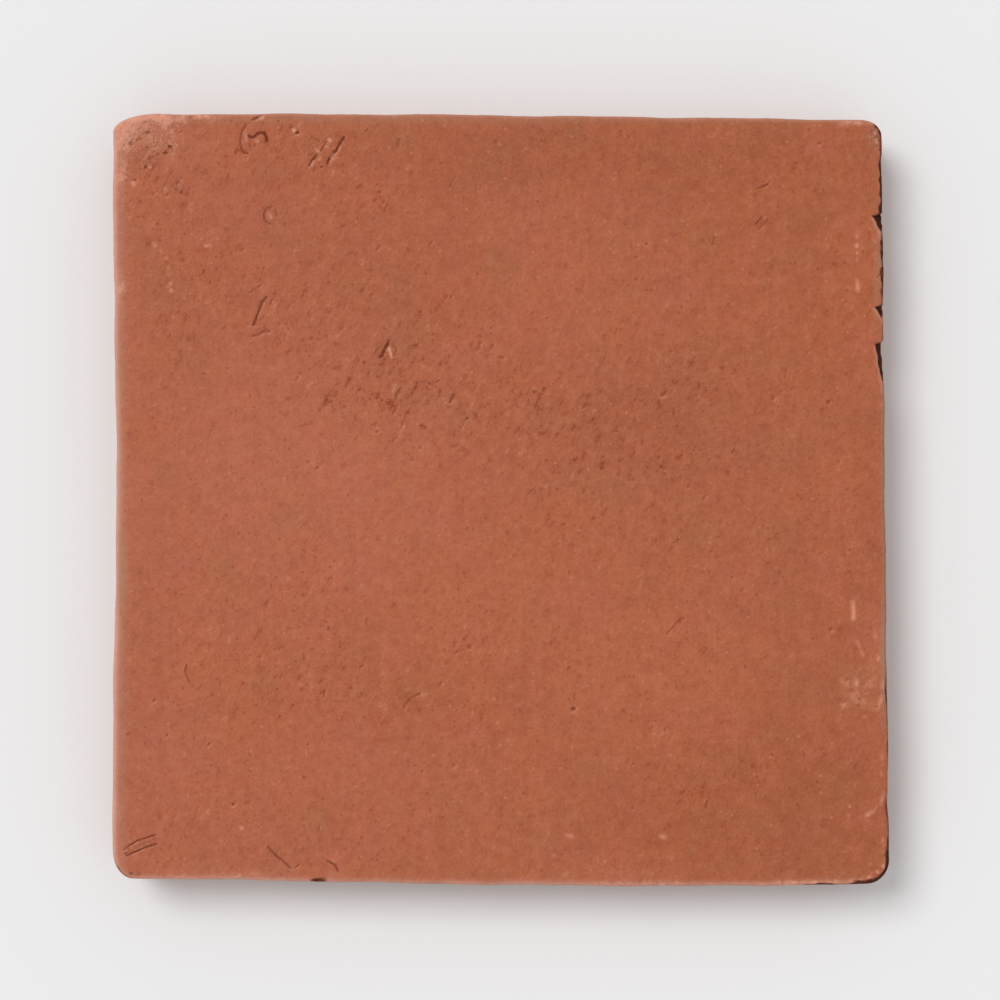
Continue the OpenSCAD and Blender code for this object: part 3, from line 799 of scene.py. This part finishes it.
def edge_distance(plan, spots):
    """Distance in plan, in millimetres, from each spot to the widest outline, and the number of the
    outline's point nearest to it."""
    outline = plan.ring(np.zeros(4), 0)
    on_arc = np.arange(RING) % SIDE_STEPS
    on_arc = (on_arc <= CORNER_STEPS) | (on_arc >= SIDE_STEPS - CORNER_STEPS)
    kept = np.flatnonzero(on_arc | (np.arange(RING) % 8 == 0))
    nearest = np.full(len(spots), np.inf)
    number = np.zeros(len(spots))
    for here, there in zip(kept, np.append(kept[1:], RING)):
        start, run = outline[here], outline[there % RING] - outline[here]
        share = np.clip(((spots - start)@run)/(run@run), 0, 1)
        away = ((spots - start - share[:, None]*run)**2).sum(axis=1)
        closer = away < nearest
        nearest[closer] = away[closer]
        number[closer] = here + share[closer]*(there - here)
    return np.sqrt(nearest)/MM, number


def edge_guides(plan, points, climbed):
    """How pale and how darkened each point near the edge is. The pale rim, partly rubbed dust and partly a
    painted highlight, is a narrow rim, exp of minus the square of the distance to the edge, with a wider fade
    exp(-distance) behind it: strongest along the rolled left arris, which faces the key lamp, weakest along
    the right one. The darkening is painted shade, a strip that ends raggedly."""
    form = plan.form
    away, number = edge_distance(plan, points[:, :2])
    strength, rim, fade = (
        np.interp(number, np.arange(RING + 1), np.append(plan.carry(values), values[0]))
        for values in (PALE_RIM_STRENGTH, PALE_RIM_WIDTH, PALE_RIM_FADE))
    patchy = 0.8 + 0.35*layered_noise(points, 9*MM, form.seed + 81)
    # Pale rim: rubbed dust and a painted highlight, strongest on the lit left arris
    worn = strength*(0.62*np.exp(-(away/rim)**2) + 0.38*patchy*np.exp(-away/fade))
    spots = (points[:, :2] - plan.middle)/MM
    ragged = away + 0.6*layered_noise(points, 1.8*MM, form.seed + 85)
    low_end = rise(0.8, 1.05, climbed + 0.12*layered_noise(points, 2.6*MM, form.seed + 86))
    # Painted shade: dark strips along the edge where the shaded sides show under the arris
    edge_shade = np.zeros(len(points))
    for x, y, across, along, width, force in EDGE_SHADE:
        inside = np.exp(-((spots[:, 0] - x)/across)**4 - ((spots[:, 1] - y)/along)**4)
        edge_shade = np.maximum(edge_shade, force*inside*(1 - rise(0.6*width, 1.3*width, ragged)))
    on_top = rise(0.7, 1.1, climbed)
    return {
        "tan": np.clip(patches(spots, TAN)*low_end, 0, 1)*(1 - edge_shade),
        "worn": np.clip(worn*on_top, 0, 1)*(1 - edge_shade),
        "dusty": np.clip(patches(spots, DUSTY)*low_end, 0, 1)*(1 - edge_shade),
        "rough": np.clip(patches(spots, ROUGH), 0, 1)*on_top,
        "edge_shade": edge_shade*low_end,
    }


# Mesh

def store(mesh, name, values):
    """Keeps one number for each point of the mesh, for its material."""
    layer = mesh.attributes.new(name, "FLOAT", "POINT")
    layer.data.foreach_set("value", np.asarray(values, dtype=np.float32))


def read(items, name):
    """A direction or place of each of a mesh's items, as an array."""
    values = np.empty(len(items)*3, dtype=np.float32)
    items.foreach_get(name, values)
    return values.reshape(-1, 3).astype(float)


def make_tile_mesh(form):
    """The tile's mesh: the skin, its flakes and its relief, with the numbers that its colours follow."""
    plan = Plan(form)
    points, faces, climbed = tile_skin(plan)
    points, (out_long, out_steep) = break_flakes(plan, points)
    mesh = bpy.data.meshes.new(NODE)
    mesh.from_pydata(points.tolist(), [], faces)
    mesh.update()
    sink, guides = relief(plan, points, climbed)
    shaped = points - read(mesh.vertices, "normal")*sink[:, None]
    shaped[:, 2] = np.maximum(shaped[:, 2], 0)
    shaped[:, :2] -= plan.middle
    mesh.vertices.foreach_set("co", shaped.astype(np.float32).ravel())
    mesh.polygons.foreach_set("use_smooth", np.ones(len(mesh.polygons), dtype=bool))
    mesh.update()

    unbroken = 1 - rise(-0.1, 0.1, np.minimum(out_long, out_steep))
    scuffs = [short_lines(*scuff) for scuff in SCUFFS]
    way, force = nearest_mark(shaped[:, :2]/MM, scuffs, SCUFF_REACH)
    stains = np.array(list(STAINS.values()))
    guides |= {
        "scuff_x": way[:, 0],
        "scuff_y": way[:, 1],
        "scuff_force": force*rise(1.05, 1.5, climbed),
        "out_long": out_long,
        "out_steep": out_steep,
        "wall": 1 - rise(0.85, 1.3, climbed),
        "darkness": patches(shaped[:, :2]/MM, stains[:, :5]),
        "warmth": patches(shaped[:, :2]/MM, stains[:, [0, 1, 2, 3, 5]]),
    }
    guides |= edge_guides(plan, points, climbed)
    guides["worn"] *= unbroken
    for name, values in guides.items():
        store(mesh, name, values)
    return mesh


# Shader

def linear(colour):
    """A colour as the eye reads it, turned into the light that a shader works with."""
    parts = [c/12.92 if c <= 0.04045 else ((c + 0.055)/1.055)**2.4 for c in colour]
    return (*parts, 1.0)


def by_math(operation, swapped=False):
    """A method that joins a value to another value or a number by a Math node."""
    def method(self, other):
        return self.shader.combine(operation, *((other, self) if swapped else (self, other)))
    return method


class Value:
    """A socket of a shader. + - * and ** between values, or a value and a number, add a Math node."""
    __add__, __radd__ = by_math("ADD"), by_math("ADD", True)
    __sub__, __rsub__ = by_math("SUBTRACT"), by_math("SUBTRACT", True)
    __mul__, __rmul__ = by_math("MULTIPLY"), by_math("MULTIPLY", True)
    __pow__ = by_math("POWER")

    def __init__(self, shader, socket):
        self.shader = shader
        self.socket = socket


class Shader:
    """The nodes of a material or the world, added one by one."""

    def __init__(self, owner):
        owner.use_nodes = True
        self.owner = owner
        self.tree = owner.node_tree
        self.tree.nodes.clear()

    def node(self, kind, settings=None, sockets=None, out=0):
        """Adds a node of this kind, sets its settings and then its sockets, and gives one of its outputs,
        or a list of them where out is a tuple."""
        made = self.tree.nodes.new("ShaderNode" + kind)
        for name, setting in (settings or {}).items():
            setattr(made, name, setting)
        for name, value in (sockets or {}).items():
            if isinstance(value, Value):
                self.tree.links.new(value.socket, made.inputs[name])
            else:
                made.inputs[name].default_value = value
        if isinstance(out, tuple):
            return [Value(self, made.outputs[name]) for name in out]
        return Value(self, made.outputs[out]) if made.outputs else None

    def combine(self, operation, first, second):
        return self.node("Math", {"operation": operation}, {0: first, 1: second})

    def attribute(self, name):
        return self.node("Attribute", {"attribute_name": name}, out="Fac")

    def noise(self, place, pitch, seed, detail=2.0, rough=0.5):
        """Noise from about -1 to 1 whose largest lumps are about a pitch apart, in the place's own unit."""
        cloud = self.node("TexNoise", {"noise_dimensions": "4D"}, {
            "Vector": place, "W": float(seed), "Scale": 1/pitch, "Detail": detail, "Roughness": rough})
        return (cloud - 0.5)*3

    def stretch(self, place, x, y, z):
        """The place with each axis drawn out by its own factor."""
        return self.node("VectorMath", {"operation": "MULTIPLY"}, {0: place, 1: (x, y, z)})

    def ramp(self, value, low, high):
        """0 below low and 1 above high, with level ends."""
        return self.node("MapRange", {"interpolation_type": "SMOOTHSTEP"}, {
            "Value": value, "From Min": low, "From Max": high})

    def mix(self, share, first, second):
        """The first colour at a share of 0 and the second at 1."""
        return self.node("Mix", {"data_type": "RGBA"}, {0: share, 6: first, 7: second}, out=2)

    def coats(self, colour, *coats):
        """The colour under coats of others, each laid over what is there by its share."""
        for share, over in coats:
            colour = self.mix(share, colour, linear(over))
        return colour

    def shade(self, colour, amount):
        """The colour times a number."""
        return self.node("VectorMath", {"operation": "SCALE"}, {0: colour, "Scale": amount})

    def surface(self, shader_value, output="OutputMaterial"):
        self.node(output, None, {"Surface": shader_value})
        return self.owner


def fired_clay(finish):
    """Unglazed low-fired clay: soft clouds of colour from the kiln, sand and grog in the body, and a
    grain that is finest where the face was smoothed and coarse on the cut sides."""
    s = Shader(bpy.data.materials.new("fired_clay"))
    place = s.stretch(s.node("TexCoord", out="Object"), 1/MM, 1/MM, 1/MM)
    x, y = s.node("SeparateXYZ", None, {0: place}, out=("X", "Y"))
    worn, tan, rough, wall, darkness, warmth, dusty, edge_shade, crumbly = map(s.attribute, (
        "worn", "tan", "rough", "wall", "darkness", "warmth", "dusty", "edge_shade", "crumbly"))
    mark_x, mark_y, force, scuff_x, scuff_y, scuffed, out_long, out_steep = map(s.attribute, (
        "mark_x", "mark_y", "mark_force", "scuff_x", "scuff_y", "scuff_force", "out_long", "out_steep"))

    # Clouds, from the width of a hand down to that of a fingertip
    cloud = s.noise(place, 60, 1, 2)
    blotch = s.noise(place, 17, 2, 3)
    mottle = s.noise(place, 5, 3, 3)
    tint = s.noise(place, 12, 9, 2, 0.55)
    drift = s.ramp(x*0.003 - y*0.0008 + 0.42 + darkness*0.25 + cloud*0.12 + blotch*0.14, 0.0, 1.0)
    heat = s.ramp(warmth*0.5 + 0.5 + blotch*0.35 + mottle*0.3 + cloud*0.12, 0.0, 1.0)

    # Grain: fine sand, and the coarser grain where the smoothing tool missed
    fine = s.noise(place, 0.8, 4, 3, 0.65)
    coarse = s.noise(place, 2.1, 5, 2, 0.6)
    open_patch = s.ramp(rough*0.8 + s.noise(place, 38, 6, 1)*0.25 + blotch*0.3 + mottle*0.25, -0.15, 0.9)
    turned = s.node(
        "VectorRotate", {"rotation_type": "Z_AXIS"}, {"Vector": place, "Angle": -finish.grain_turn})
    scratch = s.noise(s.stretch(turned, 0.38, 1, 1), 1.5, 12, 2, 0.5)
    lay = scratch*0.8 + fine*0.35 + coarse*0.3
    drag = s.noise(s.stretch(place, 1, 0.05, 1), 1.6, 7, 2)
    lines = s.noise(s.stretch(place, 0.09, 0.09, 1), 0.9, 8, 3, 0.65)
    voids = s.ramp(s.noise(s.stretch(place, 0.4, 0.4, 1), 1.3, 13, 2, 0.6), 0.44, 0.7)*wall
    pores = s.ramp(open_patch*0.08 - lay, 0.3, 0.75)*(0.3 + 0.7*open_patch)
    crests = s.ramp(lay, 0.35, 0.8)*(0.4 + 0.6*open_patch)
    grain = (fine*0.2 + coarse*0.17 + scratch*0.15*open_patch)*(1 + 0.1*open_patch)

    # Grains of sand and grog, some of the cells of a pattern
    middle, cell = s.node(
        "TexVoronoi", {"feature": "F1"}, {"Vector": place, "Scale": 0.7}, out=("Distance", "Color"))
    middle = middle + fine*0.12
    draw = s.node("SeparateColor", None, {0: cell}, out=("Red", "Green", "Blue"))
    grit = 1 - s.ramp(middle, draw[2]*0.25, draw[2]*0.25 + 0.12)
    speck = grit*s.ramp(draw[0], 0.9, 0.95)
    dark_speck = grit*s.ramp(draw[1], 0.84, 0.9)

    # Marks, roughened by the grain they were cut into, with a slight raised burr and a painted highlight on
    # their lower right, the side that the key lamp lights
    shake = fine*0.45 + coarse*0.4
    swerve_x, swerve_y = mark_x + coarse*0.8, mark_y + mottle*0.5 + scratch*0.6
    away = (swerve_x*swerve_x + swerve_y*swerve_y)**0.5
    whole = s.combine("MAXIMUM", s.ramp(coarse*0.5 + mottle*0.4 + fine*0.4, -0.3, 0.3), force**3*0.55)
    cut = (1 - s.ramp(away + shake, 0.25, 1.25))*force*(0.35 + 0.65*whole)
    lit_side = s.ramp((swerve_x - swerve_y)*0.7 + shake, 0.5, 1.3)*(1 - s.ramp(away, 1.5, 2.7))
    burr_and_highlight = lit_side*s.ramp(away + shake, 0.9, 1.5)*force*s.ramp(fine*0.6 + coarse*0.5, -0.3, 0.2)
    crumb_pit = s.ramp(coarse*0.7 + fine*0.5, 0.2, 0.5)*crumbly
    crumb_top = s.ramp(-0.5*(coarse + fine), 0.0, 0.36)*crumbly

    # Flakes: painted shade in the hollow, and a painted highlight along its rim
    ragged = fine*0.1 + coarse*0.08
    bite = s.ramp(s.combine("MINIMUM", out_long, out_steep) + ragged, -0.05, 0.3)
    rim = s.ramp(out_long + ragged, -0.9, -0.2)*s.ramp(out_steep, 0.1, 0.8)*(1 - bite)

    scuff_away = (scuff_x*scuff_x + scuff_y*scuff_y)**0.5
    dust = (1 - s.ramp(scuff_away + fine*0.55 + coarse*0.5, -0.1, 2.0))*(0.7 + coarse*0.6 + fine*0.3)
    rubbed = s.ramp(dusty*0.9 + (fine + coarse)*0.5 - 0.25, 0.0, 0.7)*s.ramp(dusty, 0.05, 0.4)
    tone = (1 + mottle*0.07 + blotch*0.03 - darkness*0.035
            + drag*0.03*(1 - wall) + lines*0.17*wall)
    body = s.coats(
        linear(finish.pale), (drift, finish.deep), (heat*0.55, finish.orange),
        (s.ramp(tint, 0.02, 0.9)*0.34, finish.rose), (s.ramp(0 - tint, 0.02, 0.9)*0.34, finish.olive),
        (wall*0.7, finish.wall))
    colour = s.coats(
        s.shade(body, tone), (pores*0.36 - grain, finish.pore), (crests*0.5 + grain, finish.sand),
        (speck*(0.3 + 0.3*wall), finish.sand), (dark_speck*0.35, finish.grog),
        # Pale arris rim: rubbed dust and a painted highlight
        (s.ramp(worn + coarse*0.16*worn, 0.0, 1.0), finish.worn),
        (s.ramp(tan + (fine + coarse)*0.2*tan, 0.0, 1.0), finish.tan),
        # A painted highlight on the lit lower right of each mark
        (rubbed*0.68 + dusty*0.2, finish.rubbed), (crumb_top*0.7, finish.sand), (burr_and_highlight*0.75, finish.sand),
        # Pits, voids, crumbs and marks darkened: dirt and painted shade in the hollows
        (voids*0.6, finish.hollow_dirt_and_shade), (crumb_pit*0.5, finish.hollow_dirt_and_shade), (cut*0.95, finish.hollow_dirt_and_shade),
        (s.ramp(dust*scuffed, 0.0, 1.0), finish.dust),
        # Painted shade along the edges, where the shaded sides show under the arris
        (s.ramp(edge_shade*(1 + (fine + coarse)*0.4), 0.15, 0.8), finish.edge_shade),
        # Painted highlight along each flake's rim, and painted shade in its hollow
        (rim*0.3, finish.worn), (bite*0.95, finish.broken))

    roughness = finish.roughness + mottle*0.03 + wall*0.08 + cut*0.08 - worn*0.06
    loose = wall*0.12 + bite*0.14 + crumbly*0.14
    height = (fine*(0.1 + 0.07*open_patch + loose) + coarse*(0.12 + 0.12*open_patch + loose)
              + mottle*0.1 + drag*0.03*(1 - wall) + lines*0.2*wall - voids*0.35
              + scratch*0.1*open_patch - pores*0.12 - cut*0.5 - crumb_pit*0.3 + burr_and_highlight*0.06 + speck*0.03)
    bump = s.node("Bump", None, {"Strength": 1.0, "Distance": MM, "Height": height})
    clay = s.node("BsdfPrincipled", None, {
        "Base Color": colour, "Roughness": roughness, "Normal": bump,
        "Specular IOR Level": finish.specular})
    return s.surface(clay)


def pale_floor(colour):
    """Matt floor of one plain colour."""
    s = Shader(bpy.data.materials.new("pale_floor"))
    return s.surface(s.node("BsdfDiffuse", None, {"Color": linear(colour)}))


# Stage

def make_floor(stage, width=8.0):
    """A square floor under the tile: its corners at plus and minus half the width."""
    half = width/2
    mesh = bpy.data.meshes.new("floor")
    corners = [(-half, -half, 0), (half, -half, 0), (half, half, 0), (-half, half, 0)]
    mesh.from_pydata(corners, [], [(0, 1, 2, 3)])
    mesh.materials.append(pale_floor(stage.floor))
    floor = bpy.data.objects.new("floor", mesh)
    bpy.context.scene.collection.objects.link(floor)


def make_world(stage):
    """Soft light from all round. What the camera, a gloss or a glass sees beyond the floor has the
    floor's own colour."""
    s = Shader(bpy.data.worlds.new("soft_light"))
    camera, glossy, clear = s.node("LightPath", out=("Is Camera Ray", "Is Glossy Ray", "Is Transmission Ray"))
    seen = s.combine("MAXIMUM", s.combine("MAXIMUM", camera, glossy), clear)
    light = s.node("Background", None, {"Color": (1, 1, 1, 1), "Strength": stage.sky_share})
    view = s.node("Background", None, {"Color": linear(stage.floor)})
    either = s.node("MixShader", None, {0: seen, 1: light, 2: view})
    bpy.context.scene.world = s.surface(either, "OutputWorld")


def aim(obj, place, target):
    """Puts a lamp or camera at a place and turns it to the target."""
    obj.location = place
    obj.rotation_euler = (Vector(target) - Vector(place)).to_track_quat("-Z", "Y").to_euler()


def make_key(stage):
    """A broad lamp to the back left. It gives the face what the soft light leaves short of full light:
    its strength times the sine of its height over pi."""
    lamp = bpy.data.lights.new("key", "SUN")
    lamp.angle = stage.key_size
    lamp.energy = math.pi*(1 - stage.sky_share)/math.sin(stage.key_height)
    key = bpy.data.objects.new("key", lamp)
    flat = math.cos(stage.key_height)
    away = (flat*math.cos(stage.key_turn), flat*math.sin(stage.key_turn), math.sin(stage.key_height))
    aim(key, away, (0, 0, 0))
    bpy.context.scene.collection.objects.link(key)


def make_camera(stage):
    """A camera straight over the tile, as high as makes the tile's width its share of the picture."""
    low, high = CAD_BOX
    camera = bpy.data.cameras.new("camera")
    camera.lens = stage.lens/MM
    camera.clip_start = 0.01
    holder = bpy.data.objects.new("camera", camera)
    width = (high[0] - low[0])/stage.fill
    holder.location = (0, 0, high[2] + width*camera.lens/camera.sensor_width)
    bpy.context.scene.collection.objects.link(holder)
    bpy.context.scene.camera = holder


# Operators

class TILE_OT_make(bpy.types.Operator):
    """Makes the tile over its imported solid"""
    bl_idname = "tile.make"
    bl_label = "Make the tile"

    def execute(self, context):
        scene = context.scene
        mesh = make_tile_mesh(scene.tile_form)
        points = read(mesh.vertices, "co")
        if (points < np.array(CAD_BOX[0]) - SLACK).any() or (points > np.array(CAD_BOX[1]) + SLACK).any():
            raise RuntimeError("The dressed tile leaves the box of its solid")
        mesh.materials.append(fired_clay(scene.clay_finish))
        tile = bpy.data.objects.new("terracotta_tile", mesh)
        scene.collection.objects.link(tile)
        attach(tile, "root")
        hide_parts(NODE)
        return {"FINISHED"}


class TILE_OT_stage(bpy.types.Operator):
    """Makes the floor, the lamps and the camera"""
    bl_idname = "tile.stage"
    bl_label = "Make the stage"

    def execute(self, context):
        scene = context.scene
        stage = scene.tile_stage
        make_floor(stage)
        make_world(stage)
        make_key(stage)
        make_camera(stage)
        scene.view_settings.view_transform = "Standard"
        return {"FINISHED"}


class TILE_PT_panel(bpy.types.Panel):
    """Lists the tile's sizes, its colours and the stage"""
    bl_label = "Terracotta tile"
    bl_idname = "TILE_PT_panel"
    bl_space_type = "VIEW_3D"
    bl_region_type = "UI"
    bl_category = "Tile"

    def draw(self, context):
        scene = context.scene
        for group, operator in (
                (scene.tile_form, TILE_OT_make), (scene.clay_finish, None),
                (scene.tile_stage, TILE_OT_stage)):
            box = self.layout.box()
            for name in group.__annotations__:
                box.prop(group, name)
            if operator:
                box.operator(operator.bl_idname)


CLASSES = (TileForm, ClayFinish, TileStage, TILE_OT_make, TILE_OT_stage, TILE_PT_panel)
GROUPS = {"tile_form": TileForm, "clay_finish": ClayFinish, "tile_stage": TileStage}


def register():
    for cls in CLASSES:
        bpy.utils.register_class(cls)
    for name, group in GROUPS.items():
        setattr(bpy.types.Scene, name, PointerProperty(type=group))


def unregister():
    for name in GROUPS:
        delattr(bpy.types.Scene, name)
    for cls in reversed(CLASSES):
        bpy.utils.unregister_class(cls)


def main():
    """Makes everything."""
    register()
    bpy.ops.tile.make()
    bpy.ops.tile.stage()


if __name__ == "__main__":
    main()
